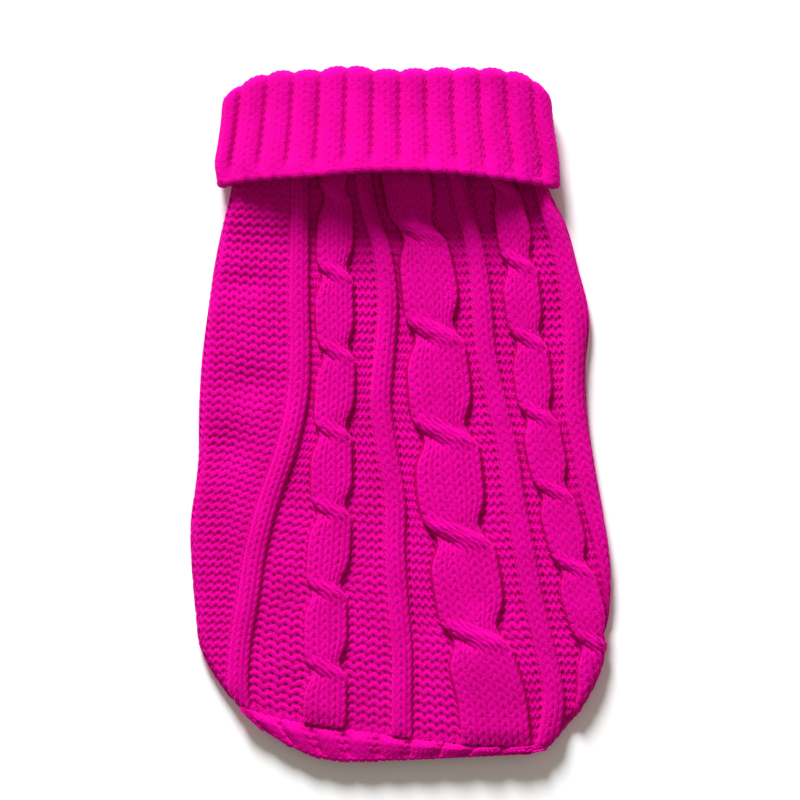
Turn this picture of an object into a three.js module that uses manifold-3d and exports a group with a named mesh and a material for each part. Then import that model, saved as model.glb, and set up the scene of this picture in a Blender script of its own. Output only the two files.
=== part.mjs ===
// Knitted dog sweater, laid flat on its belly with its collar turned down.
// Millimetres. +Y runs to the collar, +Z up, the surface it lies on is z = 0.
import * as THREE from 'three';
import Module from 'manifold-3d';

// Cloth
const WALL = 2.8;
const SIDE_GAP = 2.0;
const SEAM_GAP = 0.3;
const BENT_SEAM_GAP = 0.6;
const LAYER_GAP = 0.3;
const COLOUR = '#e1038e';
const ROUGHNESS = 0.85;

// Body tube
const NECK_Y = 106;
const SIDE_RADIUS = WALL + SIDE_GAP / 2;
const LIFT = WALL + LAYER_GAP;
const LIFT_FROM = 69;
const LIFT_TO = 91;
const DOME_POWER = 2.5;
const BODY_ROWS = 60;
const INNER_ROW_STEP = 2;
// Rounds in which a point on a bent row finds its y
const SETTLE = 16;

// Left and right edge of the flat body, and how far its top bulges over the fold thickness
const BODY = [
  { y: 110, left: -69.5, right: 60.6, puff: 6.0 },
  { y: 100, left: -70.0, right: 61.0, puff: 5.4 },
  { y: 95, left: -70.6, right: 61.8, puff: 4.9 },
  { y: 90, left: -71.6, right: 63.8, puff: 4.2 },
  { y: 79, left: -74.3, right: 69.3, puff: 2.8 },
  { y: 60, left: -78.0, right: 74.6, puff: 1.4 },
  { y: 41, left: -80.6, right: 79.2, puff: 1.0 },
  { y: 20, left: -83.0, right: 77.8, puff: 0.8 },
  { y: 3, left: -84.0, right: 78.1, puff: 0.8 },
  { y: -22, left: -84.8, right: 81.5, puff: 0.8 },
  { y: -47, left: -88.0, right: 85.8, puff: 1.0 },
  { y: -60, left: -87.9, right: 87.3, puff: 1.2 },
  { y: -85, left: -85.9, right: 87.3, puff: 1.6 },
  { y: -98, left: -84.2, right: 85.7, puff: 1.8 },
  { y: -110, left: -78.5, right: 82.7, puff: 1.8 },
  { y: -123, left: -68.5, right: 76.0, puff: 1.6 },
  { y: -135.5, left: -56.0, right: 67.2, puff: 1.4 },
  { y: -140, left: -50.0, right: 62.8, puff: 1.2 },
];

// Seam between body and hem band, across the top
const HEM_SEAM = [
  { x: -72, y: -119.5 },
  { x: -66, y: -123.0 },
  { x: -54.6, y: -127.5 },
  { x: -42, y: -130.0 },
  { x: -25.2, y: -132.5 },
  { x: 8.4, y: -137.2 },
  { x: 29.4, y: -139.4 },
  { x: 50.4, y: -140.0 },
  { x: 63, y: -139.7 },
];
const BELLY_HEM_ARCH = 4;

// How far each belly seam lies in from the side fold, on the underside
const BELLY_SEAM = [
  { y: 110, left: 10, right: 10 },
  { y: -60, left: 12, right: 12 },
  { y: -100, left: 22, right: 18 },
  { y: -140, left: 38, right: 30 },
];

// Middle of each knit line, measured over the cloth from the left, sides rolled out flat
const LINES = [
  { y: 110, a: -42.0, cable1: -27.6, b: -16.5, cable2: 0.0, c: 22.0, cable3: 40.5, d: 56.5 },
  { y: 89, a: -42.0, cable1: -27.3, b: -13.9, cable2: 4.2, c: 26.0, cable3: 44.8, d: 61.2 },
  { y: 68, a: -42.0, cable1: -27.2, b: -7.6, cable2: 9.7, c: 31.5, cable3: 49.1, d: 67.6 },
  { y: 47, a: -42.2, cable1: -27.6, b: -5.0, cable2: 13.2, c: 34.4, cable3: 51.5, d: 71.8 },
  { y: 26, a: -41.8, cable1: -26.8, b: -6.3, cable2: 15.1, c: 36.1, cable3: 54.4, d: 73.4 },
  { y: 5, a: -43.0, cable1: -27.4, b: -8.0, cable2: 17.2, c: 40.3, cable3: 57.0, d: 73.0 },
  { y: -16, a: -47.8, cable1: -28.6, b: -5.5, cable2: 19.7, c: 45.2, cable3: 60.9, d: 76.4 },
  { y: -37, a: -55.0, cable1: -28.6, b: -2.1, cable2: 21.8, c: 48.3, cable3: 65.5, d: 80.6 },
  { y: -58, a: -60.5, cable1: -29.8, b: -2.1, cable2: 25.8, c: 52.1, cable3: 71.0, d: 86.2 },
  { y: -79, a: -63.8, cable1: -31.1, b: -0.8, cable2: 29.4, c: 56.1, cable3: 76.4, d: 91.4 },
  { y: -100, a: -67.2, cable1: -31.1, b: 0.8, cable2: 32.8, c: 60.9, cable3: 81.9, d: 97.6 },
  { y: -121, a: -67.5, cable1: -31.5, b: 0.8, cable2: 38.5, c: 64.5, cable3: 82.5, d: 98.2 },
  { y: -140, a: -62.5, cable1: -31.5, b: 0.8, cable2: 40.5, c: 61.5, cable3: 76.0, d: 92.0 },
];

// Half the width of a line, by its kind
const HALF_WIDTHS = [
  { y: 110, stripe: 3.6, narrow: 6.6, slim: 6.2, wide: 10.0 },
  { y: 68, stripe: 4.1, narrow: 8.0, slim: 7.6, wide: 11.2 },
  { y: 26, stripe: 4.4, narrow: 8.2, slim: 7.9, wide: 12.8 },
  { y: -37, stripe: 4.6, narrow: 9.0, slim: 8.4, wide: 14.2 },
  { y: -140, stripe: 4.6, narrow: 9.4, slim: 8.8, wide: 14.6 },
];

// Each line's kind and rise, a cable's first crossing and the way to the next one,
// the length of a crossing, and the columns of plain ground that follow the line
const FEATURES = [
  { name: 'a', kind: 'stripe', rise: 1.3, ground: 3 },
  { name: 'cable1', kind: 'narrow', rise: 2.4, first: 59, pitch: 33.2, span: 9, ground: 1 },
  { name: 'b', kind: 'stripe', rise: 1.5, ground: 1 },
  { name: 'cable2', kind: 'wide', rise: 3.2, first: 76.7, pitch: 42.5, span: 12, ground: 1 },
  { name: 'c', kind: 'stripe', rise: 1.5, ground: 1 },
  { name: 'cable3', kind: 'slim', rise: 2.4, first: 63, pitch: 31.8, span: 9, ground: 1 },
  { name: 'd', kind: 'stripe', rise: 1.3, ground: 5 },
];
const LEFT_GROUND = 12;
const STRIPE_STEPS = [-1.1, -0.6, 0.6, 1.1];
const NARROW_STEPS = [-1.1, -0.8, -0.4, 0, 0.4, 0.8, 1.1];
const WIDE_STEPS = [-1.06, -0.88, -0.6, -0.3, 0, 0.3, 0.6, 0.88, 1.06];
const STEPS = { stripe: STRIPE_STEPS, narrow: NARROW_STEPS, slim: NARROW_STEPS, wide: WIDE_STEPS };
const STRAND_PLACE = 0.5;
const STRAND_HALF = 0.6;
const STRAND_LEVEL = 0.78;
const STRAND_OVER = 0.22;
const UNDER_REACH = 0.35;
const UNDER_DIP_LEFT = 0.75;
const UNDER_DIP_RIGHT = 0.3;
const NECK_FADE = 9;
const HEM_FADE = 7;

// Folds that gather the body into its neck, each in the ground after the line it names
const FOLDS = [
  { after: 'a', depth: 2.2, half: 5, length: 34 },
  { after: 'b', depth: 3.4, half: 6, length: 38 },
  { after: 'c', depth: 2.6, half: 6, length: 34 },
  { after: 'cable3', depth: 2.0, half: 5, length: 28 },
];

// Leg holes in the belly, with a knitted band round each
const LEG_Y = 42;
const LEG_X = { left: -38, right: 34 };
const LEG_HOLE = { x: 15, y: 20 };
const LEG_BAND = 6;
const LEG_STEPS = 40;
const BELLY_COLUMNS = 10;
const BELLY_ROWS = BODY_ROWS / INNER_ROW_STEP;

// Turned-down layer of the collar, seen from above, and its bulge over the fold thickness
const COLLAR = [
  { y: 92, left: -75.0, right: 65.9, puff: 14.5 },
  { y: 97, left: -76.2, right: 66.5, puff: 13.5 },
  { y: 104, left: -77.4, right: 66.5, puff: 12.0 },
  { y: 112, left: -76.2, right: 65.4, puff: 10.0 },
  { y: 122, left: -74.8, right: 63.9, puff: 8.0 },
  { y: 132, left: -74.0, right: 63.0, puff: 6.8 },
  { y: 142, left: -73.4, right: 62.4, puff: 6.4 },
];
const COLLAR_RADIUS = SIDE_RADIUS + WALL + LAYER_GAP;
// Its fold at the top and its free edge at the bottom, across the front
const COLLAR_EDGES = [
  { x: -77, top: 130, free: 94.5 },
  { x: -71, top: 136, free: 96.0 },
  { x: -58, top: 141.8, free: 97.5 },
  { x: -34, top: 143.6, free: 99.0 },
  { x: -23, top: 145.1, free: 100.2 },
  { x: -8, top: 143.6, free: 101.0 },
  { x: 21, top: 144.2, free: 100.2 },
  { x: 50, top: 142.6, free: 96.4 },
  { x: 60, top: 138.0, free: 95.0 },
  { x: 66, top: 130, free: 94.4 },
];
const NECK_TUBE = [
  { y: 106, left: -69.6, right: 61.0 },
  { y: 142, left: -70.0, right: 59.0 },
];
const COLLAR_BACK_DROP = 1.5;
const COLLAR_RIBS = 11;
const COLLAR_RIB_RISE = 1.6;
const COLLAR_TOP_SCALLOP = 0.9;
const COLLAR_TOP_MEAN = 0.7;
const COLLAR_EDGE_ROLL = 0.6;
const COLLAR_ROWS = [0, 0.05, 0.18, 0.4, 0.7, 1];
const FOLD_STEPS = 6;
const NECK_TUBE_ROWS = [1, 0.5, 0];

// Hem band, from its seam to its free edge
const HEM_RIBS = 9;
const HEM_RIB_RISE = 0.8;
const HEM_ROWS = [0, 0.12, 0.45, 0.8, 1];
const HEM_INNER_ROWS = [1, 0.5, 0];
const HEM_LOW = { left: -59.5, right: 55, radius: 3.1, puff: 0.6 };
const HEM_EDGE = [
  { x: -59.5, y: -130.3 },
  { x: -52, y: -135.6 },
  { x: -39.5, y: -141.9 },
  { x: -29.4, y: -144.6 },
  { x: 0, y: -144.8 },
  { x: 29.4, y: -143.6 },
  { x: 55, y: -142.2 },
];
const HEM_BACK_SHORTER = 4;
const COLLAR_BACK_STATIONS = 9;
const HEM_BACK_STATIONS = 24;
const SIDE_STATIONS = 8;

const clamp = (value, low, high) => Math.min(Math.max(value, low), high);
const mix = (from, to, part) => from + (to - from) * part;
const smooth = (value) => {
  const part = clamp(value, 0, 1);
  return part * part * (3 - 2 * part);
};

// Value of a named column at a place, on a smooth curve through the table's rows
function lookUp(table, column, at, key = 'y') {
  const way = Math.sign(table[1][key] - table[0][key]);
  let row = 0;
  while (row < table.length - 2 && (at - table[row + 1][key]) * way > 0) row += 1;
  const slope = (one, two) => (two[column] - one[column]) / (two[key] - one[key]);
  const here = table[row];
  const next = table[row + 1];
  const middle = slope(here, next);
  const start = row > 0 ? (slope(table[row - 1], here) + middle) / 2 : middle;
  const end = row < table.length - 2 ? (middle + slope(next, table[row + 2])) / 2 : middle;
  const length = next[key] - here[key];
  const part = clamp((at - here[key]) / length, 0, 1);
  const bend = part * (1 - part) * length;
  const pull = (start - middle) * (1 - part) - (end - middle) * part;
  return mix(here[column], next[column], part) + bend * pull;
}

const liftAt = (y) => LIFT * smooth((y - LIFT_FROM) / (LIFT_TO - LIFT_FROM));

function bodySection(y) {
  return {
    left: lookUp(BODY, 'left', y),
    right: lookUp(BODY, 'right', y),
    puff: lookUp(BODY, 'puff', y),
    radius: SIDE_RADIUS,
    lift: liftAt(y),
  };
}

// Point and outward normal of a flattened tube. Place u is measured over the top and rolls
// round each side fold on to the underside.
function onTube(section, u) {
  const { left, right, puff, radius, lift } = section;
  const first = left + radius;
  const last = right - radius;
  if (u >= first && u <= last) {
    const across = Math.abs((2 * u - first - last) / (last - first));
    const rise = puff * (1 - across ** DOME_POWER);
    return { x: u, z: lift + 2 * radius + rise, nx: 0, nz: 1 };
  }
  const side = u > last ? 1 : -1;
  const run = side > 0 ? u - last : first - u;
  const angle = Math.min(run / radius, Math.PI);
  const under = Math.max(0, run - Math.PI * radius);
  const centre = side > 0 ? last : first;
  return {
    x: centre + side * (radius * Math.sin(angle) - under),
    z: lift + radius + radius * Math.cos(angle),
    nx: side * Math.sin(angle),
    nz: Math.cos(angle),
  };
}

// Relief is full on top, low at the side folds and gone on the underside
const reliefFacing = (tube) => smooth((tube.nz + 0.6) / 1.4);

const stripeRise = (across) => Math.max(0, 1 - across ** 4);

// Two strands side by side that swap places once in each pitch. The left one moves over the
// other, whose stitches pass under it one by one and dip beside it.
function cableRise(feature, across, y) {
  const turn = (feature.first + feature.span / 2 - y) / feature.pitch;
  const phase = Math.min(((turn - Math.floor(turn)) * feature.pitch) / feature.span, 1);
  const over = mix(-STRAND_PLACE, STRAND_PLACE, smooth(phase));
  const bump = Math.sin(Math.PI * phase);
  const round = (away) => Math.sqrt(Math.max(0, 1 - (away / STRAND_HALF) ** 2));
  const upper = (STRAND_LEVEL + STRAND_OVER * bump) * round(across - over);
  const centre = across > over ? STRAND_PLACE : -STRAND_PLACE;
  const edge = (across - over - centre) / UNDER_REACH;
  const depth = across > over ? UNDER_DIP_RIGHT : UNDER_DIP_LEFT;
  const dip = depth * Math.exp(-edge * edge) * bump;
  const lower = STRAND_LEVEL * round(across - centre) * (1 - dip);
  return Math.max(upper, lower);
}

function reliefAt(u, y) {
  let rise = 0;
  for (const feature of FEATURES) {
    const half = lookUp(HALF_WIDTHS, feature.kind, y);
    const across = (u - lookUp(LINES, feature.name, y)) / half;
    if (Math.abs(across) < 1.05) {
      const shape = feature.pitch ? cableRise(feature, across, y) : stripeRise(across);
      rise = Math.max(rise, feature.rise * shape);
    }
  }
  return rise;
}

function lineEdge(name, y, steps) {
  const feature = FEATURES.find((entry) => entry.name === name);
  return lookUp(LINES, name, y) + steps * lookUp(HALF_WIDTHS, feature.kind, y);
}

function foldAt(u, y) {
  let depth = 0;
  for (const fold of FOLDS) {
    const index = FEATURES.findIndex((entry) => entry.name === fold.after);
    const start = lineEdge(fold.after, y, 1);
    const end = lineEdge(FEATURES[index + 1].name, y, -1);
    const away = (u - (start + end) / 2) / fold.half;
    const down = clamp((NECK_Y - y) / fold.length, 0, 1);
    depth += fold.depth * Math.exp(-away * away) * Math.sin(Math.PI * Math.sqrt(down));
  }
  return depth;
}

const hemSeamAt = (x) => lookUp(HEM_SEAM, 'y', clamp(x, -72, 63), 'x');

function seamPlaces(y) {
  const section = bodySection(y);
  const roll = Math.PI * SIDE_RADIUS;
  return {
    left: section.left + SIDE_RADIUS - roll - lookUp(BELLY_SEAM, 'left', y),
    right: section.right - SIDE_RADIUS + roll + lookUp(BELLY_SEAM, 'right', y),
  };
}

// Columns of the back panel from belly seam to belly seam. Each gives its place at a y,
// and says whether the plain inside has it too.
function backColumns() {
  const columns = [];
  const add = (place, inside) => columns.push({ place, inside });
  for (let i = 0; i < LEFT_GROUND; i += 1) {
    const part = i / LEFT_GROUND;
    add((y) => mix(seamPlaces(y).left, lineEdge('a', y, STRIPE_STEPS[0]), part), i % 2 === 0);
  }
  FEATURES.forEach((feature, index) => {
    const steps = STEPS[feature.kind];
    steps.forEach((step, i) => {
      const middle = i === (steps.length - 1) / 2;
      add((y) => lineEdge(feature.name, y, step), i === 0 || middle);
    });
    const next = FEATURES[index + 1];
    for (let i = 1; i <= feature.ground; i += 1) {
      const part = i / (feature.ground + 1);
      const end = (y) => (next ? lineEdge(next.name, y, STEPS[next.kind][0]) : seamPlaces(y).right);
      const start = (y) => lineEdge(feature.name, y, steps[steps.length - 1]);
      add((y) => mix(start(y), end(y), part), next ? i === Math.ceil(feature.ground / 2) : i % 2 === 1);
    }
  });
  add((y) => seamPlaces(y).right, true);
  return columns;
}

// A column's place and y on a row, where rows bend from the straight neck to the hem seam
function rowPoint(column, part) {
  let y = mix(NECK_Y - SEAM_GAP, hemSeamAt(0), part);
  let place = column.place(y);
  for (let pass = 0; pass < SETTLE; pass += 1) {
    const x = onTube(bodySection(y), place).x;
    y = mix(NECK_Y - SEAM_GAP, hemSeamAt(x), part);
    place = column.place(y);
  }
  return { place, y };
}

function backPoint(u, y, depth) {
  const tube = onTube(bodySection(y), u);
  const facing = reliefFacing(tube);
  const fade = smooth((NECK_Y - y) / NECK_FADE);
  const end = mix(0.35, 1, smooth((y - hemSeamAt(tube.x)) / HEM_FADE));
  const relief = depth > 0 ? 0 : reliefAt(u, y) * facing * fade * end;
  const fold = foldAt(u, y) * Math.max(0, tube.nz);
  const out = relief - fold - depth;
  return [tube.x + tube.nx * out, y, tube.z + tube.nz * out];
}

// Closed solid from a list of points and triangles, its faces pointing out
function solid(points, triangles) {
  let volume = 0;
  for (const [a, b, c] of triangles) {
    const [p, q, r] = [points[a], points[b], points[c]];
    volume += p[0] * (q[1] * r[2] - q[2] * r[1]);
    volume += p[1] * (q[2] * r[0] - q[0] * r[2]);
    volume += p[2] * (q[0] * r[1] - q[1] * r[0]);
  }
  const index = volume > 0 ? triangles : triangles.map(([a, b, c]) => [a, c, b]);
  const geometry = new THREE.BufferGeometry();
  geometry.setAttribute('position', new THREE.Float32BufferAttribute(points.flat(), 3));
  geometry.setIndex(index.flat());
  geometry.computeVertexNormals();
  return geometry;
}

// Two triangles on four corners, cut along the shorter diagonal
function addQuad(points, triangles, a, b, c, d) {
  const span = (one, two) => Math.hypot(...points[one].map((value, i) => value - points[two][i]));
  if (span(a, c) <= span(b, d)) triangles.push([a, b, c], [a, c, d]);
  else triangles.push([a, b, d], [b, c, d]);
}

// Strip between a fine edge and the coarse edge whose points face some of the fine ones
function addRim(triangles, fine, coarse, marks) {
  for (let i = 0; i + 1 < marks.length; i += 1) {
    const middle = Math.floor((marks[i] + marks[i + 1]) / 2);
    for (let j = marks[i]; j < marks[i + 1]; j += 1) {
      const near = j < middle ? coarse[i] : coarse[i + 1];
      triangles.push([fine[j], fine[j + 1], near]);
    }
    triangles.push([coarse[i], fine[middle], coarse[i + 1]]);
  }
}

// Sheet of cloth: a fine outer face, a coarse inner face and the rim between them
function clothSheet(outer, inner, columnMarks, rowMarks) {
  const rows = outer.length;
  const columns = outer[0].length;
  const points = [...outer.flat(), ...inner.flat()];
  const triangles = [];
  const fine = (row, column) => row * columns + column;
  const coarse = (row, column) => rows * columns + row * columnMarks.length + column;
  for (let row = 0; row + 1 < rows; row += 1) {
    for (let column = 0; column + 1 < columns; column += 1) {
      const near = [fine(row, column), fine(row, column + 1)];
      const far = [fine(row + 1, column + 1), fine(row + 1, column)];
      addQuad(points, triangles, ...near, ...far);
    }
  }
  for (let row = 0; row + 1 < rowMarks.length; row += 1) {
    for (let column = 0; column + 1 < columnMarks.length; column += 1) {
      const near = [coarse(row, column), coarse(row + 1, column)];
      const far = [coarse(row + 1, column + 1), coarse(row, column + 1)];
      addQuad(points, triangles, near[0], near[1], far[0], far[1]);
    }
  }
  const list = (count, pick) => Array.from({ length: count }, (_, i) => pick(i));
  const lastRow = rowMarks.length - 1;
  const lastColumn = columnMarks.length - 1;
  const coarseRow = (row) => list(columnMarks.length, (i) => coarse(row, i));
  const coarseColumn = (column) => list(rowMarks.length, (i) => coarse(i, column));
  const fineRow = (row) => list(columns, (i) => fine(row, i));
  const fineColumn = (column) => list(rows, (i) => fine(i, column));
  const rims = [
    [fineRow(0), coarseRow(0), columnMarks, true],
    [fineRow(rows - 1), coarseRow(lastRow), columnMarks, false],
    [fineColumn(0), coarseColumn(0), rowMarks, false],
    [fineColumn(columns - 1), coarseColumn(lastColumn), rowMarks, true],
  ];
  for (const [edge, facing, marks, flip] of rims) {
    const strip = [];
    addRim(strip, edge, facing, marks);
    triangles.push(...strip.map(([a, b, c]) => (flip ? [b, a, c] : [a, b, c])));
  }
  return solid(points, triangles);
}

function marksOf(list, chosen) {
  return list.map((_, i) => i).filter((i) => chosen(list[i], i));
}

function backPanel() {
  const columns = backColumns();
  const rows = Array.from({ length: BODY_ROWS + 1 }, (_, i) => i / BODY_ROWS);
  const columnMarks = marksOf(columns, (column) => column.inside);
  const rowMarks = marksOf(rows, (_, i) => i % INNER_ROW_STEP === 0);
  const grid = rows.map((part) => columns.map((column) => rowPoint(column, part)));
  const outer = grid.map((row) => row.map(({ place, y }) => backPoint(place, y, 0)));
  const inner = rowMarks.map((row) => columnMarks.map((column) => {
    const { place, y } = grid[row][column];
    return backPoint(place, y, WALL);
  }));
  return clothSheet(outer, inner, columnMarks, rowMarks);
}

function seamX(y) {
  const places = seamPlaces(y);
  const section = bodySection(y);
  return { left: onTube(section, places.left).x, right: onTube(section, places.right).x };
}

// Hem seam of the belly: a shallow arch between the two ends of the back panel's seam
function bellyEnds() {
  const end = (side) => {
    let y = hemSeamAt(0);
    for (let pass = 0; pass < SETTLE; pass += 1) y = hemSeamAt(seamX(y)[side]);
    return { x: seamX(y)[side], y };
  };
  return { left: end('left'), right: end('right') };
}

function bellySeamAt(x) {
  const { left, right } = bellyEnds();
  const part = clamp((x - left.x) / (right.x - left.x), 0, 1);
  return mix(left.y, right.y, part) + BELLY_HEM_ARCH * 4 * part * (1 - part);
}

function ellipse(centre, half, steps, z) {
  return Array.from({ length: steps }, (_, i) => {
    const angle = (2 * Math.PI * i) / steps;
    return [centre.x + half.x * Math.cos(angle), centre.y + half.y * Math.sin(angle), z];
  });
}

// Ring grid: loops of equal length joined in turn, the last one to the first when closed
function ringSolid(loops) {
  const count = loops[0].length;
  const points = loops.flat();
  const triangles = [];
  for (let loop = 0; loop < loops.length; loop += 1) {
    const next = (loop + 1) % loops.length;
    for (let i = 0; i < count; i += 1) {
      const j = (i + 1) % count;
      const corners = [loop * count + i, loop * count + j, next * count + j, next * count + i];
      addQuad(points, triangles, ...corners);
    }
  }
  return solid(points, triangles);
}

function legRing(side, inner, outer, low, high) {
  const centre = { x: LEG_X[side], y: LEG_Y };
  const grow = (by) => ({ x: LEG_HOLE.x + by, y: LEG_HOLE.y + by });
  return ringSolid([
    ellipse(centre, grow(outer), LEG_STEPS, low),
    ellipse(centre, grow(outer), LEG_STEPS, high),
    ellipse(centre, grow(inner), LEG_STEPS, high),
    ellipse(centre, grow(inner), LEG_STEPS, low),
  ]);
}

// Upright plug of a leg hole, to cut it out of the belly
function legPlug(side) {
  const centre = { x: LEG_X[side], y: LEG_Y };
  const size = LEG_BAND + SEAM_GAP;
  const half = { x: LEG_HOLE.x + size, y: LEG_HOLE.y + size };
  const low = ellipse(centre, half, LEG_STEPS, -WALL);
  const high = ellipse(centre, half, LEG_STEPS, 2 * WALL);
  const triangles = [];
  for (let i = 0; i < LEG_STEPS; i += 1) {
    const j = (i + 1) % LEG_STEPS;
    triangles.push([i, j, LEG_STEPS + j], [i, LEG_STEPS + j, LEG_STEPS + i]);
    if (i > 0 && j > 0) {
      triangles.push([0, j, i], [LEG_STEPS, LEG_STEPS + i, LEG_STEPS + j]);
    }
  }
  return solid([...low, ...high], triangles);
}

const wasm = await Module();
wasm.setup();

function cutter(geometry) {
  const vertProperties = Float32Array.from(geometry.getAttribute('position').array);
  const triVerts = Uint32Array.from(geometry.getIndex().array);
  return new wasm.Manifold(new wasm.Mesh({ numProp: 3, vertProperties, triVerts }));
}

function geometryOf(manifold) {
  const mesh = manifold.getMesh();
  const geometry = new THREE.BufferGeometry();
  geometry.setAttribute('position', new THREE.BufferAttribute(mesh.vertProperties, 3));
  geometry.setIndex(new THREE.BufferAttribute(mesh.triVerts, 1));
  geometry.computeVertexNormals();
  return geometry;
}

function bellyPanel() {
  const faces = [0, WALL].map((height) => {
    const rows = [];
    for (let row = 0; row <= BELLY_ROWS; row += 1) {
      const points = [];
      for (let column = 0; column <= BELLY_COLUMNS; column += 1) {
        const across = column / BELLY_COLUMNS;
        let y = NECK_Y - SEAM_GAP;
        let x = 0;
        for (let pass = 0; pass < SETTLE; pass += 1) {
          const edges = seamX(y);
          x = mix(edges.left + BENT_SEAM_GAP, edges.right - BENT_SEAM_GAP, across);
          y = mix(NECK_Y - SEAM_GAP, bellySeamAt(x), row / BELLY_ROWS);
        }
        points.push([x, y, liftAt(y) + height]);
      }
      rows.push(points);
    }
    return rows;
  });
  const every = (count) => Array.from({ length: count + 1 }, (_, i) => i);
  const plate = cutter(clothSheet(faces[1], faces[0], every(BELLY_COLUMNS), every(BELLY_ROWS)));
  const holes = ['left', 'right'].map((side) => cutter(legPlug(side)));
  return geometryOf(plate.subtract(holes[0]).subtract(holes[1]));
}

// Stations round a flattened tube: ribs across the top, two round each side, a plain underside
function stationsAround(topRibs, backStations) {
  const stations = [];
  for (let rib = 0; rib < topRibs; rib += 1) {
    stations.push({ part: 'top', along: rib / topRibs, rib: 0 });
    stations.push({ part: 'top', along: (rib + 0.25) / topRibs, rib: 1 });
    stations.push({ part: 'top', along: (rib + 0.75) / topRibs, rib: 1 });
  }
  stations.push({ part: 'top', along: 1, rib: 0 });
  const side = (part) => {
    for (let i = 1; i < SIDE_STATIONS; i += 1) {
      stations.push({ part, along: i / SIDE_STATIONS, rib: (2 * i) % SIDE_STATIONS === 0 ? 0 : 1 });
    }
  };
  side('right');
  for (let i = 0; i <= backStations; i += 1) {
    stations.push({ part: 'bottom', along: i / backStations, rib: 0 });
  }
  side('left');
  return stations;
}

function atStation(section, station) {
  const { left, right, radius } = section;
  const first = left + radius;
  const last = right - radius;
  const roll = Math.PI * radius;
  if (station.part === 'top') return onTube(section, mix(first, last, station.along));
  if (station.part === 'right') return onTube(section, last + roll * station.along);
  if (station.part === 'left') return onTube(section, first - roll * (1 - station.along));
  const x = mix(last, first, station.along);
  return { x, z: section.lift, nx: 0, nz: -1 };
}

const movedOut = (tube, y, out) => [tube.x + tube.nx * out, y, tube.z + tube.nz * out];

function collar() {
  const collarSection = (y) => ({
    left: lookUp(COLLAR, 'left', y),
    right: lookUp(COLLAR, 'right', y),
    puff: lookUp(COLLAR, 'puff', y),
    radius: COLLAR_RADIUS,
    lift: 0,
  });
  const neckSection = (y) => ({
    left: lookUp(NECK_TUBE, 'left', y),
    right: lookUp(NECK_TUBE, 'right', y),
    puff: lookUp(BODY, 'puff', NECK_Y),
    radius: SIDE_RADIUS,
    lift: LIFT,
  });
  const columnAt = (station) => {
    const guide = atStation(collarSection(120), station);
    const under = Math.max(0, -guide.nz);
    const scallop = COLLAR_TOP_SCALLOP * (station.rib * reliefFacing(guide) - COLLAR_TOP_MEAN);
    const top = lookUp(COLLAR_EDGES, 'top', guide.x, 'x') - COLLAR_BACK_DROP * under + scallop;
    const free = lookUp(COLLAR_EDGES, 'free', guide.x, 'x');
    const turned = (y, out) => movedOut(atStation(collarSection(y), station), y, out);
    const tube = (y, out) => movedOut(atStation(neckSection(y), station), y, out);
    const ribbed = station.rib * COLLAR_RIB_RISE * reliefFacing(guide);
    const reach = (one, two) => Math.hypot(one[0] - two[0], one[2] - two[2]) / 2;
    const turnY = top - reach(turned(top, ribbed), tube(top, -WALL));
    const bend = (from, to, steps) => {
      const radius = reach(from, to);
      const points = [];
      for (let i = 1; i < steps; i += 1) {
        const angle = (Math.PI * i) / steps;
        const side = (1 - Math.cos(angle)) / 2;
        const y = turnY + radius * Math.sin(angle);
        points.push([mix(from[0], to[0], side), y, mix(from[2], to[2], side)]);
      }
      return points;
    };
    const outside = COLLAR_ROWS.map((part) => {
      const y = mix(free, turnY, part);
      const roll = COLLAR_EDGE_ROLL * Math.max(0, 1 - part / 0.12) * Math.max(0, guide.nz);
      return turned(y, ribbed + roll);
    });
    const inside = NECK_TUBE_ROWS.map((part) => tube(mix(NECK_Y, turnY, part), -WALL));
    const back = [...NECK_TUBE_ROWS].reverse().map((part) => tube(mix(NECK_Y, turnY, part), 0));
    const under1 = [1, 0.6, 0.3, 0].map((part) => turned(mix(free, turnY, part), -WALL));
    const outerBend = bend(outside[outside.length - 1], inside[0], FOLD_STEPS);
    const innerBend = bend(back[back.length - 1], under1[0], 2);
    return [...outside, ...outerBend, ...inside, ...back, ...innerBend, ...under1];
  };
  return ringSolid(stationsAround(COLLAR_RIBS, COLLAR_BACK_STATIONS).map(columnAt));
}

function hemBand() {
  const ends = bellyEnds();
  const columnAt = (station) => {
    const left = hemSeamAt(-69);
    const upper = { ...bodySection(left), left: -69.2, right: 62.8 };
    const seam = atStation(upper, station);
    const under = seam.nz < -0.99 && seam.x > ends.left.x && seam.x < ends.right.x;
    const seamY = (under ? bellySeamAt(seam.x) : hemSeamAt(seam.x)) - BENT_SEAM_GAP;
    const top = seam.nz > 0.99 ? onTube(bodySection(seamY + BENT_SEAM_GAP), seam.x) : seam;
    const lower = atStation({ ...HEM_LOW, lift: 0 }, station);
    const part = (lower.x - HEM_LOW.left) / (HEM_LOW.right - HEM_LOW.left);
    const shorter = HEM_BACK_SHORTER * 4 * part * (1 - part) * Math.max(0, -seam.nz);
    const edgeY = lookUp(HEM_EDGE, 'y', lower.x, 'x') + shorter;
    const at = (down, out) => {
      const sag = down * down;
      const place = {
        x: mix(seam.x, lower.x, down),
        z: mix(top.z, lower.z, sag),
        nx: seam.nx,
        nz: seam.nz,
      };
      return movedOut(place, mix(seamY, edgeY, down), out);
    };
    const rise = station.rib * HEM_RIB_RISE * reliefFacing(seam);
    const outside = HEM_ROWS.map((down) => at(down, down > 0 ? rise : 0));
    const inside = HEM_INNER_ROWS.map((down) => at(down, -WALL));
    return [...outside, ...inside];
  };
  return ringSolid(stationsAround(HEM_RIBS, HEM_BACK_STATIONS).map(columnAt));
}

function cloth(name, geometry) {
  const material = new THREE.MeshStandardMaterial({ color: COLOUR, roughness: ROUGHNESS, metalness: 0 });
  const mesh = new THREE.Mesh(geometry, material);
  mesh.name = name;
  return mesh;
}

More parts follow.
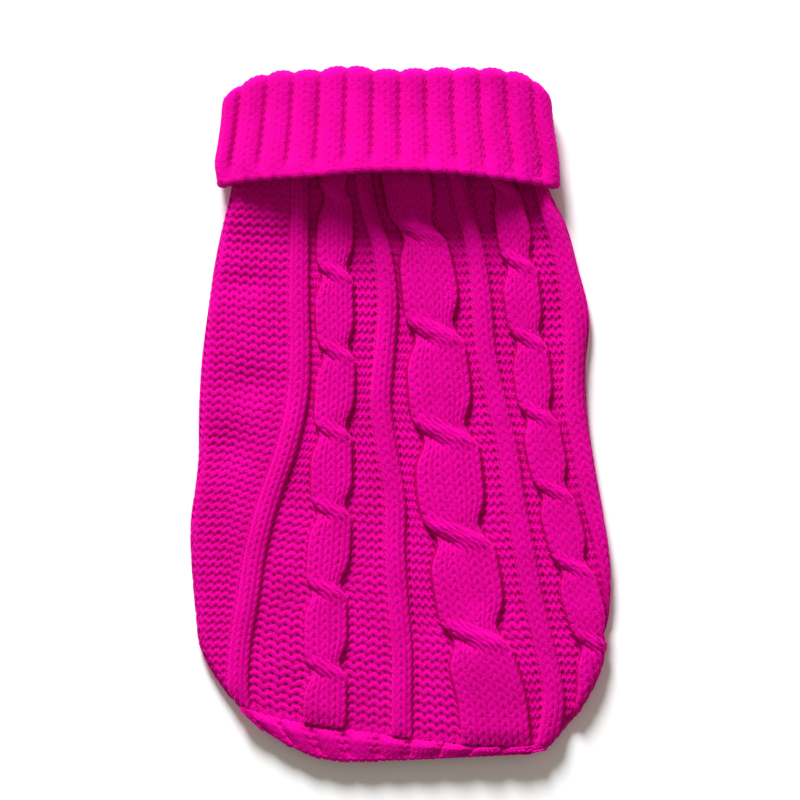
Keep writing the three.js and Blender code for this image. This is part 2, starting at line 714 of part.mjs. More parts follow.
const sweater = new THREE.Group();
sweater.add(cloth('back_panel', backPanel()));
sweater.add(cloth('belly_panel', bellyPanel()));
sweater.add(cloth('collar', collar()));
sweater.add(cloth('hem_band', hemBand()));
for (const side of ['left', 'right']) {
  sweater.add(cloth(`leg_band_${side}`, legRing(side, 0, LEG_BAND, 0, WALL)));
}

export default sweater;
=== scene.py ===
# Knitted dog sweater laid flat on its belly, its yarn modelled stitch by stitch.
# Sizes are in millimetres until a mesh is made; +Y runs to the collar and z = 0 is the floor.
import math

import bpy
import numpy as np
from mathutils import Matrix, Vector


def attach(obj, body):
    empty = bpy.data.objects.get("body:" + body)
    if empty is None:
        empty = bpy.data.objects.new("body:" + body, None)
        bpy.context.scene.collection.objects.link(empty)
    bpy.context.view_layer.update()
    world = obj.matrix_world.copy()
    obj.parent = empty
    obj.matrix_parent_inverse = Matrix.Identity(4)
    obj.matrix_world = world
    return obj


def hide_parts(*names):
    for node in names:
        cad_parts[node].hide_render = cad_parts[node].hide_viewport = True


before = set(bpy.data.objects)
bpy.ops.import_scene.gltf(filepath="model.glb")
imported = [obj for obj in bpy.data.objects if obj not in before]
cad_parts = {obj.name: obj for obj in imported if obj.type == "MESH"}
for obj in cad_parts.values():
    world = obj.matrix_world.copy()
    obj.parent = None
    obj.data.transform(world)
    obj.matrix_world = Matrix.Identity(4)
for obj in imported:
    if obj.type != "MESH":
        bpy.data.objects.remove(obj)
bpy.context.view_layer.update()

MM = 0.001

# Cloth
WALL = 2.8
SIDE_GAP = 2.0            # hollow inside a side fold
SEAM_GAP = 0.3
LAYER_GAP = 0.3
FLOOR_GAP = 0.05          # the yarn is pressed flat where it rests
SHELL_DEPTH = 1.6         # how far the ground lies under the cloth's face
SHELL_THICKNESS = 0.6
SHELL_DEPTHS = (SHELL_DEPTH, SHELL_DEPTH + SHELL_THICKNESS)
SHELL_END = 0.002         # share of its length that a panel's ground keeps from either end
BACK_GRID = (141, 121)    # places across and along at which the ground is worked out
BELLY_GRID = (61, 101)
LEG_GRID = (41, 4)
LEG_SHELL_END = 0.02
RING_STEP = 0.25          # ribs between two such places round the collar and the hem

# Yarn and its loops
YARN = 1.28               # half width of the yarn, which is flattened as it lies
KNIT_WIDTH = 0.81         # half width in a knit stitch, in those of the yarn
PURL_WIDTH = 0.87
KNIT_FLAT = 0.5           # half thickness in a knit stitch, in half widths
PURL_FLAT = 0.74
KNIT_SWING = 0.34         # how far a loop's yarn moves to the front and the back
PURL_SWING = 0.46
PURL_HEAD = 0.03          # how much further out a purl stitch's upper bump lies
KNIT_HEIGHT = 1.02        # half height of a loop, in rows
PURL_HEIGHT = 1.2
LOOP_WAIST = 0.2          # sideways swing of a loop, in stitches
LOOP_EVEN = 0.3           # how far from its middle a stitch is wholly knit or purl
STITCH_STEPS = 12
YARN_SIDES = 5
PLAIN_STEPS = 8           # these two for yarn that hardly shows
PLAIN_SIDES = 4
ROW_END = 0.003           # share of the length that rows keep from either end
KNIT_SOFT = 0.26          # how much the yarn's fuzz evens out the light on it
PURL_SOFT = 1.5
RIB_SOFT = 0.6
NORMAL_STEP = 0.7         # how far from a point the cloth is looked at for its normal
NORMAL_EASE = 0.35        # share of the smooth form's normal in it
TINY = 1e-9

# Which way cloth faces, as the upward part of its normal
RELIEF_FROM = -0.6        # relief starts here on the side folds
RELIEF_TO = 0.8
SIDE_FACING = 0.5         # below this a loop swings less and is flatter
SIDE_SWING = 0.15
SIDE_FLAT = 0.7
LEVEL = 0.99              # above this the cloth is level

# Body tube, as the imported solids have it
NECK_Y = 106
SIDE_RADIUS = WALL + SIDE_GAP / 2
LIFT = WALL + LAYER_GAP
LIFT_FROM = 69
LIFT_TO = 91
DOME_POWER = 2.5
BODY_STITCH_ROWS = 66
SETTLE = 16               # rounds in which a place that depends on itself settles
BODY = {
    "y":     [110, 100, 95, 90, 79, 60, 41, 20, 3, -22, -47, -60, -85, -98, -110, -123, -135.5, -140],
    "left":  [-69.5, -70, -70.6, -71.6, -74.3, -78, -80.6, -83, -84, -84.8, -88, -87.9, -85.9, -84.2,
              -78.5, -68.5, -56, -50],
    "right": [60.6, 61, 61.8, 63.8, 69.3, 74.6, 79.2, 77.8, 78.1, 81.5, 85.8, 87.3, 87.3, 85.7,
              82.7, 76, 67.2, 62.8],
    "puff":  [6, 5.4, 4.9, 4.2, 2.8, 1.4, 1, 0.8, 0.8, 0.8, 1, 1.2, 1.6, 1.8, 1.8, 1.6, 1.4, 1.2],
}
HEM_SEAM = {
    "x": [-72, -66, -54.6, -42, -25.2, 8.4, 29.4, 50.4, 63],
    "y": [-119.5, -123, -127.5, -130, -132.5, -137.2, -139.4, -140, -139.7],
}
BELLY_HEM_ARCH = 4
BELLY_SEAM = {"y": [110, -60, -100, -140], "left": [10, 12, 22, 38], "right": [10, 12, 18, 30]}
NECK_FADE = 9             # lengths over which relief fades to the neck and to the hem
HEM_FADE = 7
HEM_SHARE = 0.35          # share of it that is left at the hem

# Lines of the pattern: stripes a to d and the cables between them
LINES = {
    "y":      [110, 89, 68, 47, 26, 5, -16, -37, -58, -79, -100, -121, -140],
    "a":      [-42, -42, -42, -42.2, -41.8, -43, -47.8, -55, -60.5, -63.8, -67.2, -67.5, -62.5],
    "cable1": [-27.6, -27.3, -27.2, -27.6, -26.8, -27.4, -28.6, -28.6, -29.8, -31.1, -31.1,
               -31.5, -31.5],
    "b":      [-16.5, -13.9, -7.6, -5, -6.3, -8, -5.5, -2.1, -2.1, -0.8, 0.8, 0.8, 0.8],
    "cable2": [0, 4.2, 9.7, 13.2, 15.1, 17.2, 19.7, 21.8, 25.8, 29.4, 32.8, 38.5, 40.5],
    "c":      [22, 26, 31.5, 34.4, 36.1, 40.3, 45.2, 48.3, 52.1, 56.1, 60.9, 64.5, 61.5],
    "cable3": [40.5, 44.8, 49.1, 51.5, 54.4, 57, 60.9, 65.5, 71, 76.4, 81.9, 82.5, 76],
    "d":      [56.5, 61.2, 67.6, 71.8, 73.4, 73, 76.4, 80.6, 86.2, 91.4, 97.6, 98.2, 92],
}
HALF_WIDTHS = {
    "y":      [110, 68, 26, -37, -140],
    "stripe": [3.6, 4.1, 4.4, 4.6, 4.6],
    "narrow": [6.6, 8.0, 8.2, 9.0, 9.4],
    "slim":   [6.2, 7.6, 7.9, 8.4, 8.8],
    "wide":   [10, 11.2, 12.8, 14.2, 14.6],
}

# rise is the height over the ground, and ground the number of stitches up to the next line. A
# cable's crossings start at first, with a pitch from one to the next and a span along the cable
FEATURES = {
    "a":      {"kind": "stripe", "rise": 1.3, "stitches": 2, "ground": 4},
    "cable1": {"kind": "narrow", "rise": 2.4, "stitches": 4, "ground": 4,
               "first": 59, "pitch": 33.2, "span": 10.5},
    "b":      {"kind": "stripe", "rise": 1.5, "stitches": 2, "ground": 4},
    "cable2": {"kind": "wide", "rise": 3.2, "stitches": 6, "ground": 3,
               "first": 76.7, "pitch": 42.5, "span": 14, "crossings": 5},
    "c":      {"kind": "stripe", "rise": 1.5, "stitches": 2, "ground": 3},
    "cable3": {"kind": "slim", "rise": 2.4, "stitches": 4, "ground": 3,
               "first": 63, "pitch": 31.8, "span": 10.5},
    "d":      {"kind": "stripe", "rise": 1.3, "stitches": 2, "ground": 4},
}
LINE_ORDER = ["a", "cable1", "b", "cable2", "c", "cable3", "d"]
CABLES = [name for name in LINE_ORDER if "pitch" in FEATURES[name]]
STRIPES = [name for name in LINE_ORDER if "pitch" not in FEATURES[name]]
STRIPS = {"knit_left": "a", "knit_middle": "b", "knit_between": "c", "knit_right": "d"}

# Ground between the lines
LEFT_STITCHES = 12        # purl columns left of the first stripe
SMOOTH_END = 2            # knit columns that run on past the last stripe
SEAM_EDGE = 0.2           # how far the outermost columns keep from the belly's seams
GUTTER = 1.5              # how deep the ground between the lines lies
GUTTER_REACH = 2.5
FULL_WIDTH = 4.4          # a stitch column narrower than this sinks into the cloth
SINK = 2.2
SINK_SLOPE = 1.6
SINK_EDGE = 0.3
LEAST_GAP = 0.5
THINNEST = 0.5            # least width of the yarn in a narrow column, as a share of its own

# Cables, with places and widths in half widths of the cable, from its middle
STRAND_PLACE = 0.5        # where a strand lies left or right between its crossings
STRAND_HALF = 0.6         # half width of its round form
STRAND_WIDE = 0.52        # half width of its stitches
STRAND_SPREAD = 0.14      # how much wider they get as it crosses over
STRAND_LEVEL = 0.78       # its height, as a share of the cable's rise
STRAND_OVER = 0.22        # what crossing over adds to that
STRAND_APART = 3.5        # how soon it has a round form of its own as it crosses over
STRAND_MARGIN = 0.6       # how far it runs on past the crossings next to its own, in spans
UNDER_REACH = 0.35        # the dip where it comes out on the left or goes under on the right
UNDER_DIP_LEFT = 0.75
UNDER_DIP_RIGHT = 0.15
UNDER_SLOPE = 0.3         # how soon it has gone down under the other one
UNDER_SINK = 3.0
END_SINK = 1.1            # how deep its outer edges are tucked in
END_REACH = 0.35          # how wide a tucked edge is, in columns
RIGHT_END = 0.3           # share of the tuck on the right
NO_CROSSING = -1000
PINCH = 0.34              # how far a cable draws in at a crossing
PINCH_PLACE = 0.25        # middle and reach of that, in spans
PINCH_REACH = 0.55

# Soft dips where the cloth lies unevenly
DIPS = {
    "x":     [-66, -62, -73, -60, 38, 66, 10, 8],
    "y":     [54, 12, -16, -96, -100, 40, 89, -90],
    "depth": [1.1, 1.4, 1.5, 0.9, -0.9, 0.9, 3.6, 0.8],
    "wide":  [11, 12, 9, 8, 14, 5, 36, 8],
    "long":  [6, 8, 10, 14, 16, 20, 15, 18],
}

# Folds in the ground under the collar
FOLDS = {
    "after":  ["a", "b", "c", "cable3"],
    "depth":  [2.2, 3.4, 2.6, 2.0],
    "half":   [5, 6, 6, 5],
    "length": [34, 38, 34, 28],
}

# Belly and leg holes
LEG_Y = 42
LEG_X = {"left": -38, "right": 34}
LEG_HOLE = (15, 20)
LEG_BAND = 6
BELLY_STITCHES = 29
BELLY_ROWS = 62
BELLY_EDGE = 0.6          # how far the belly keeps from its seams
SHORTEST_RUN = 4          # a run of fewer points beside a leg hole is left out
LEG_STITCHES = 28
LEG_ROWS = 2
LEG_ENDS = (0.12, 0.84)   # where the yarn starts and ends across a leg's band

# Collar
COLLAR = {
    "y":     [92, 97, 104, 112, 122, 132, 142],
    "left":  [-75, -76.2, -77.4, -76.2, -74.8, -74, -73.4],
    "right": [65.9, 66.5, 66.5, 65.4, 63.9, 63, 62.4],
    "puff":  [14.5, 13.5, 12, 10, 8, 6.8, 6.4],
}
COLLAR_RADIUS = SIDE_RADIUS + WALL + LAYER_GAP
COLLAR_EDGES = {
    "x":    [-77, -71, -58, -34, -23, -8, 21, 50, 60, 66],
    "top":  [130, 136, 141.8, 143.6, 145.1, 143.6, 144.2, 142.6, 138, 130],
    "free": [94.5, 96, 97.5, 99, 100.2, 101, 100.2, 96.4, 95, 94.4],
}
NECK_TUBE = {"y": [106, 142], "left": [-69.6, -70], "right": [61, 59]}
COLLAR_GUIDE_Y = 120      # where a rib's place across the collar is read
COLLAR_BACK_DROP = 1.5
COLLAR_RIBS = 11
SIDE_RIBS = 2
COLLAR_RIB_RISE = 1.6
COLLAR_TOP_SCALLOP = 0.9
COLLAR_TOP_MEAN = 0.7
COLLAR_OUTER_ROWS = 12
COLLAR_FOLD_ROWS = 3
COLLAR_INNER_ROWS = 10
COLLAR_FOLD_END = COLLAR_OUTER_ROWS + COLLAR_FOLD_ROWS
COLLAR_ROWS = COLLAR_FOLD_END + COLLAR_INNER_ROWS

# Ribs
COLLAR_RIB = ([1, 1, -1], [0.4, 0.4, 0.2])  # stitches of a rib and their shares of it
HEM_RIB = ([1, 1, -1, -1], [0.28, 0.28, 0.22, 0.22])
RIB_START = 0.08          # where a rib's first stitch starts, in ribs
RIB_ROUND = 0.6           # the power that rounds a rib's profile
RIB_SINK = 1.5            # depth of a valley
RIB_SHARP = 1.3           # how steep its sides are
RIB_FOOT = 0.08           # where the valleys start, as a share of the rib's length
RIB_TOP = 0.45            # share of a valley's depth that is left at the collar's fold
RIB_TOP_FROM = 0.75       # where it starts to fade to that
RIB_WIDTH = 1.2           # how much wider and flatter the yarn lies in a rib
RIB_FLAT = 0.8
RIB_SWING = 0.6
RIB_STEPS = (0.06, 0.02)  # the same on ribs, in ribs and in shares of their length
VALLEY_FLOOR = 0.2        # height of the profile up to which a valley is at its deepest
VALLEY_WIDTH = 0.85       # width of the yarn in a valley, as a share of that on a rib
VALLEY_SLOPE = 1.5
VALLEY_SWING = 0.18

# Cast-off edges
RIM_PLACE = 0.035         # where the rolled edge lies, as a share of the turned-down layer
RIM_RADIUS = 2.0
RIM_WAVES = 52
RIM_SIDES = 12
RIM_WAVE = 0.22           # how much an edge swells at a wave
RIM_DROP = 0.004          # how far it bends there, as a share of the layer
WAVE_STEPS = 8
HEM_RIM_PLACE = 0.97
HEM_RIM_RADIUS = 1.1
HEM_RIM_WAVES = 88

# Hem band
HEM_RIBS = 9
HEM_RIB_RISE = 0.8
HEM_TOP = {"left": -69.2, "right": 62.8}  # where the band's folds start at its seam
HEM_TOP_X = -69           # its left corner, where the body's section is read
HEM_GAP = 0.6
HEM_LOW = {"left": -59.5, "right": 55.0, "radius": 3.1, "puff": 0.6}
HEM_EDGE = {
    "x": [-59.5, -52, -39.5, -29.4, 0, 29.4, 55],
    "y": [-130.3, -135.6, -141.9, -144.6, -144.8, -143.6, -142.2],
}
HEM_BACK_SHORTER = 4
HEM_ROWS = 4
HEM_ENDS = (0.01, 1.03)   # where the rows start and end, as shares of the band
HEM_DEEP = 0.6            # depth of the hem's valleys, in those of the collar
HEM_CREASE = 1.3          # how deep the band lies next to its seam
CREASE_REACH = 1 / 3      # as shares of the band: the crease, and where the ribs are whole
HEM_RIB_START = 1 / 8

# Stage
FLOOR_HALF = 3.0          # metres
PIXEL = 0.42 * MM
PHOTO_SIZE = 800
PART_MIDDLE_ROW = 412.5   # pixel row of the garment's middle
CAMERA_HEIGHT = 4.0
SENSOR = 36
KEY_PLACE = (-0.9, 3.7, 2.05)
KEY_SIZE = 1.3
KEY_POWER = 360
KEY_COLOUR = (0.93, 0.96, 1.0)
WORLD_LIGHT = {"Color": (1, 0.93, 0.8, 1), "Strength": 0.29}


def mix(a, b, part):
    return a + (b - a) * part


def smooth(value):
    part = np.clip(value, 0, 1)
    return part * part * (3 - 2 * part)


def vector(x, y, z):
    return np.stack(np.broadcast_arrays(x, y, z), -1)


def unit(vectors):
    return vectors / np.maximum(np.linalg.norm(vectors, axis=-1, keepdims=True), TINY)


def look_up(table, column, at, key="y"):
    """Value of a named column at a place, on a smooth curve through the table's rows."""
    keys = np.array(table[key], float)
    values = np.array(table[column], float)
    if keys[0] > keys[-1]:
        keys = keys[::-1]
        values = values[::-1]
    slopes = np.diff(values) / np.diff(keys)
    tangents = np.concatenate([[slopes[0]], (slopes[:-1] + slopes[1:]) / 2, [slopes[-1]]])
    at = np.asarray(at, float)
    row = np.clip(np.searchsorted(keys, at) - 1, 0, len(keys) - 2)
    length = keys[row + 1] - keys[row]
    part = np.clip((at - keys[row]) / length, 0, 1)
    bend = part * (1 - part) * length
    pull = (tangents[row] - slopes[row]) * (1 - part) - (tangents[row + 1] - slopes[row]) * part
    return mix(values[row], values[row + 1], part) + bend * pull


def lift_at(y):
    return LIFT * smooth((y - LIFT_FROM) / (LIFT_TO - LIFT_FROM))


def section_at(table, y, radius, lift):
    """A flattened tube's section: the table's columns at y, the side folds' radius and its lift."""
    section = {column: look_up(table, column, y) for column in table if column != "y"}
    return dict(section, radius=radius, lift=lift)


def body_section(y):
    return section_at(BODY, y, SIDE_RADIUS, lift_at(y))


def collar_section(y):
    return section_at(COLLAR, y, COLLAR_RADIUS, 0)


def neck_section(y):
    return dict(section_at(NECK_TUBE, y, SIDE_RADIUS, LIFT), puff=look_up(BODY, "puff", NECK_Y))


def on_tube(section, u):
    """Point and outward normal of a flattened tube at place u, which rolls round the side folds."""
    radius = section["radius"]
    first = section["left"] + radius
    last = section["right"] - radius
    u = np.asarray(u, float)
    top = (u >= first) & (u <= last)
    across = np.abs((2 * u - first - last) / (last - first))
    rise = section["puff"] * (1 - np.minimum(across, 1) ** DOME_POWER)
    side = np.where(u > last, 1.0, -1.0)
    run = np.where(side > 0, u - last, first - u)
    angle = np.clip(run / radius, 0, math.pi)
    under = np.maximum(0, run - math.pi * radius)
    centre = np.where(side > 0, last, first)
    x = np.where(top, u, centre + side * (radius * np.sin(angle) - under))
    z_top = section["lift"] + 2 * radius + rise
    z_side = section["lift"] + radius + radius * np.cos(angle)
    nx = np.where(top, 0, side * np.sin(angle))
    nz = np.where(top, 1, np.cos(angle))
    return x, np.where(top, z_top, z_side), nx, nz


def relief_facing(nz):
    """Share of the relief on cloth with this upward part of its normal."""
    return smooth((nz - RELIEF_FROM) / (RELIEF_TO - RELIEF_FROM))


def crossing_y(feature, number):
    """Middle of a crossing, or a place far below the hem if the cable has no such crossing."""
    if number >= feature.get("crossings", BODY_STITCH_ROWS):
        return NO_CROSSING
    return feature["first"] - number * feature["pitch"]


def pinch_near(below, side):
    """How far a cable draws in at a place this many spans below a crossing: most just below it on
    the left, where the strand underneath comes out, and just above it on the right, where it goes
    under."""
    return PINCH * np.exp(-((below + side * PINCH_PLACE) / PINCH_REACH) ** 2)


def pinch_at(feature, y, side):
    """How far a cable draws in at the crossing next to y."""
    turn = (feature["first"] - y) / feature["pitch"]
    below = (turn - np.round(turn)) * feature["pitch"] / feature["span"]
    has_crossing = np.round(turn) < feature.get("crossings", BODY_STITCH_ROWS)
    return has_crossing * pinch_near(below, side)


def line_edge(name, y, side):
    """Place of a line's left or right edge, for side -1 or 1."""
    feature = FEATURES[name]
    half = look_up(HALF_WIDTHS, feature["kind"], y)
    if "pitch" in feature:
        half = half * (1 - pinch_at(feature, y, side))
    return look_up(LINES, name, y) + side * half


def left_edge(name):
    return lambda y: line_edge(name, y, -1)


def right_edge(name):
    return lambda y: line_edge(name, y, 1)


def fold_at(u, y):
    total = 0
    for after, depth, half, length in zip(*FOLDS.values()):
        start = line_edge(after, y, 1)
        end = line_edge(LINE_ORDER[LINE_ORDER.index(after) + 1], y, -1)
        away = (u - (start + end) / 2) / half
        down = np.clip((NECK_Y - y) / length, 0, 1)
        total = total + depth * np.exp(-away * away) * np.sin(math.pi * np.sqrt(down))
    return total


def dip_at(x, y):
    total = 0
    for dip_x, dip_y, depth, wide, long in zip(*DIPS.values()):
        total = total + depth * np.exp(-((x - dip_x) / wide) ** 2 - ((y - dip_y) / long) ** 2)
    return total


def hem_seam_at(x):
    return look_up(HEM_SEAM, "y", np.clip(x, HEM_SEAM["x"][0], HEM_SEAM["x"][-1]), "x")


def seam_places(y):
    """Places where the back ends on the underside, left and right."""
    section = body_section(y)
    roll = math.pi * SIDE_RADIUS
    left = section["left"] + SIDE_RADIUS - roll - look_up(BELLY_SEAM, "left", y)
    right = section["right"] - SIDE_RADIUS + roll + look_up(BELLY_SEAM, "right", y)
    return left, right


def row_point(place_at, part):
    """A column's place and y on a row; rows bend from the straight neck to the hem seam."""
    start = NECK_Y - SEAM_GAP
    y = mix(start, hem_seam_at(0), part)
    for _ in range(SETTLE):
        x = on_tube(body_section(y), place_at(y))[0]
        y = mix(start, hem_seam_at(x), part)
    return place_at(y), y


def body_point(u, y, relief, out):
    """Point of the body's outer form, moved out along its normal, and that normal. The relief
    fades on the side folds and towards the neck and the hem."""
    x, z, nx, nz = on_tube(body_section(y), u)
    fold = (fold_at(u, y) + dip_at(x, y)) * np.maximum(0, nz)
    fade = smooth((NECK_Y - y) / NECK_FADE)
    end = mix(HEM_SHARE, 1, smooth((y - hem_seam_at(x)) / HEM_FADE))
    total = relief * relief_facing(nz) * fade * end - fold + out
    return vector(x + nx * total, y, z + nz * total), vector(nx, 0, nz)


def on_relief(point, place, along, steps):
    """Point of a relief and its normal there. point gives a point and the normal of the smooth
    form under the relief."""
    centre, plain = point(place, along)
    across = point(place + steps[0], along)[0] - point(place - steps[0], along)[0]
    down = point(place, along + steps[1])[0] - point(place, along - steps[1])[0]
    normal = unit(np.cross(across, down))
    normal = normal * np.where((normal * plain).sum(-1, keepdims=True) < 0, -1, 1)
    return centre, unit(normal + NORMAL_EASE * plain)


# Rings round a flattened tube

def ring_place(section, place, ribs):
    """Point and outward normal at a place that is counted in ribs: over the top, round the right
    side fold, back along the underside and round the left side fold."""
    total = 2 * (ribs + SIDE_RIBS)
    place = np.mod(place, total)
    radius = section["radius"]
    first = section["left"] + radius
    last = section["right"] - radius
    roll = math.pi * radius
    right = (place - ribs) / SIDE_RIBS
    bottom = (place - ribs - SIDE_RIBS) / ribs
    left = (total - place) / SIDE_RIBS
    u = np.where(place <= ribs, mix(first, last, place / ribs), last + roll * right)
    u = np.where(bottom >= 0, last + roll + bottom * (last - first), u)
    u = np.where(left <= 1, first - roll * left, u)
    return on_tube(section, u)


def rib_profile(place):
    """Height over a rib and its valleys, from 0 to 1."""
    return np.abs(np.sin(math.pi * place)) ** RIB_ROUND


def rib_valley(place, stretch):
    """How deep the cloth lies between two ribs. A valley fades towards the ends of its rib."""
    fade = smooth((stretch - RIB_FOOT) / RIB_FOOT)
    fade = fade * mix(1, RIB_TOP, smooth((stretch - RIB_TOP_FROM) / (1 - RIB_TOP_FROM)))
    return RIB_SINK * fade * (1 - smooth((rib_profile(place) - VALLEY_FLOOR) * RIB_SHARP))


def collar_point(place, stretch, depth):
    """Point under the collar's face. stretch is 0 to 1 from the free edge to the fold, 1 to 2
    over the fold and 2 to 3 down the inside of the neck tube."""
    guide_x, _, _, guide_nz = ring_place(collar_section(COLLAR_GUIDE_Y), place, COLLAR_RIBS)
    under = np.maximum(0, -guide_nz)
    scallop = COLLAR_TOP_SCALLOP * (rib_profile(place) * relief_facing(guide_nz) - COLLAR_TOP_MEAN)
    top = look_up(COLLAR_EDGES, "top", guide_x, "x") - COLLAR_BACK_DROP * under + scallop
    free = look_up(COLLAR_EDGES, "free", guide_x, "x")
    ribbed = rib_profile(place) * COLLAR_RIB_RISE * relief_facing(guide_nz)

    def face(section, y, out):
        x, z, nx, nz = ring_place(section(y), place, COLLAR_RIBS)
        return vector(x + nx * out, y, z + nz * out), vector(nx, 0, nz)

    outer_top = face(collar_section, top, ribbed)[0]
    inner_top = face(neck_section, top, -WALL)[0]
    reach = np.linalg.norm((outer_top - inner_top)[..., [0, 2]], axis=-1) / 2
    turn = top - reach
    outside = face(collar_section, mix(free, turn, np.minimum(stretch, 1)), ribbed)
    inside = face(neck_section, mix(turn, NECK_Y, np.clip(stretch - 2, 0, 1)), -WALL)
    start = face(collar_section, turn, ribbed)
    stop = face(neck_section, turn, -WALL)
    angle = math.pi * np.clip(stretch - 1, 0, 1)
    side = ((1 - np.cos(angle)) / 2)[..., None]
    bend = mix(start[0], stop[0], side)
    bend[..., 1] += reach * np.sin(angle)
    ahead = vector(0, np.sin(angle), 0) + np.cos(angle)[..., None] * start[1]
    stretch = stretch[..., None]
    point = np.where(stretch <= 1, outside[0], np.where(stretch < 2, bend, inside[0]))
    normal = np.where(stretch <= 1, outside[1], np.where(stretch < 2, ahead, -inside[1]))
    return point - normal * np.asarray(depth)[..., None], normal


def hem_point(place, down, depth):
    """Point under the hem band's face, from its seam at 0 to its edge at 1."""
    upper = dict(body_section(hem_seam_at(HEM_TOP_X)), **HEM_TOP)
    x, z, nx, nz = ring_place(upper, place, HEM_RIBS)
    under = (nz < -LEVEL) & (x > BELLY_ENDS["left"][0]) & (x < BELLY_ENDS["right"][0])
    seam_y = np.where(under, belly_seam_at(x), hem_seam_at(x))
    z = np.where(nz > LEVEL, on_tube(body_section(seam_y), x)[1], z)
    low_x, low_z, _, _ = ring_place(dict(HEM_LOW, lift=0), place, HEM_RIBS)
    part = (low_x - HEM_LOW["left"]) / (HEM_LOW["right"] - HEM_LOW["left"])
    shorter = HEM_BACK_SHORTER * 4 * part * (1 - part) * np.maximum(0, -nz)
    edge_y = look_up(HEM_EDGE, "y", low_x, "x") + shorter
    rise = rib_profile(place) * HEM_RIB_RISE * smooth(down / HEM_RIB_START)
    crease = HEM_CREASE * (1 - smooth(down / CREASE_REACH))
    out = relief_facing(nz) * (rise - crease) - depth
    point = vector(mix(x, low_x, down) + nx * out, mix(seam_y - HEM_GAP, edge_y, down),
                   mix(z, low_z, down * down) + nz * out)
    return point, vector(nx, 0 * down, nz)


def seam_x(y):
    """Where the back's seams to the belly lie, left and right."""
    left, right = seam_places(y)
    section = body_section(y)
    return on_tube(section, left)[0], on_tube(section, right)[0]


def belly_end(side):
    """Place where a seam of the belly, 0 on the left and 1 on the right, meets the hem."""
    y = hem_seam_at(0)
    for _ in range(SETTLE):
        y = hem_seam_at(seam_x(y)[side])
    return float(seam_x(y)[side]), float(y)


BELLY_ENDS = {"left": belly_end(0), "right": belly_end(1)}


def belly_seam_at(x):
    """Where the belly ends at the hem, in a slight arch."""
    (left_x, left_y), (right_x, right_y) = BELLY_ENDS["left"], BELLY_ENDS["right"]
    part = np.clip((x - left_x) / (right_x - left_x), 0, 1)
    return mix(left_y, right_y, part) + BELLY_HEM_ARCH * 4 * part * (1 - part)


def facing_down(x, y, z):
    return vector(x, y, z), vector(0 * x, 0 * x, -1 + 0 * x)


def belly_point(across, part, depth):
    """Point over the belly's underside, which faces down."""
    y = mix(NECK_Y - SEAM_GAP, hem_seam_at(0), part)
    for _ in range(SETTLE):
        left, right = seam_x(y)
        x = mix(left + BELLY_EDGE, right - BELLY_EDGE, across)
        y = mix(NECK_Y - SEAM_GAP, belly_seam_at(x), part)
    return facing_down(x, y, lift_at(y) + depth)


# Yarn

def loop_path(knit, steps=STITCH_STEPS, closed=False, purl_swing=PURL_SWING):
    """One row of loops, as arrays along the yarn: place in stitches, place in rows, swing to the
    front, thickness over width and half width. knit has 1 for a knit stitch and -1 for a purl one."""
    stitches = len(knit)
    t = 2 * math.pi * np.arange(stitches * steps + (0 if closed else 1)) / steps
    phase = t / (2 * math.pi)
    column = phase + LOOP_WAIST * np.sin(2 * t)
    centre = np.arange(stitches) + 0.5
    places = np.sort(np.concatenate([centre - LOOP_EVEN, centre + LOOP_EVEN]))
    signs = np.repeat(np.array(knit, float), 2)
    sign = np.interp(phase, places, signs, period=stitches if closed else None)
    is_knit = (sign + 1) / 2
    reach = np.where(sign > 0, KNIT_SWING, purl_swing)
    row = -np.where(sign > 0, KNIT_HEIGHT, PURL_HEIGHT) * np.cos(t)
    swing = -reach * np.cos(2 * t) * sign - PURL_HEAD * np.cos(t) * np.maximum(0, -sign)
    flat = mix(PURL_FLAT, KNIT_FLAT, is_knit)
    width = YARN * mix(PURL_WIDTH, KNIT_WIDTH, is_knit)
    return column, row, swing - reach - width * flat, flat, width


def tubes(centres, normals, radius, flat, closed, sides, soft):
    """Joined yarns. centres and normals are (yarns, points, 3); flat is thickness over width. The
    third result is the direction in which each point is lit: yarn's fuzz evens out its own form."""
    yarns, points, _ = centres.shape
    if closed:
        along = np.roll(centres, -1, 1) - np.roll(centres, 1, 1)
    else:
        along = np.gradient(centres, axis=1)
    along = unit(along)
    side = unit(np.cross(along, normals))
    up = np.cross(side, along)
    angle = 2 * math.pi * np.arange(sides) / sides
    radius, flat, soft = [np.broadcast_to(value, (yarns, points))[..., None, None]
                          for value in (radius, flat, soft)]
    outward = np.cos(angle)[:, None] * up[:, :, None, :]
    sideways = np.sin(angle)[:, None] * side[:, :, None, :]
    verts = (centres[:, :, None, :] + radius * (flat * outward + sideways)).reshape(-1, 3)
    lit = unit(outward + flat * sideways) + soft * normals[:, :, None, :]
    grid = np.arange(yarns * points * sides).reshape(yarns, points, sides)
    caps = []
    if closed:
        grid = np.concatenate([grid, grid[:, :1]], 1)
    else:
        caps = np.concatenate([grid[:, 0, ::-1], grid[:, -1, :]]).tolist()
    around = np.roll(grid, -1, 2)
    quads = np.stack([grid[:, :-1], around[:, :-1], around[:, 1:], grid[:, 1:]], -1).reshape(-1, 4)
    return verts, quads.tolist() + caps, lit.reshape(-1, 3)


def add_object(name, data, place=(0, 0, 0)):
    piece = bpy.data.objects.new(name, data)
    piece.location = place
    bpy.context.scene.collection.objects.link(piece)
    return piece


def mesh_object(name, verts, faces, material):
    mesh = bpy.data.meshes.new(name)
    mesh.from_pydata((verts * MM).tolist(), [], faces)
    mesh.update()
    mesh.polygons.foreach_set("use_smooth", np.ones(len(mesh.polygons), bool))
    mesh.materials.append(material)
    return add_object(name, mesh)


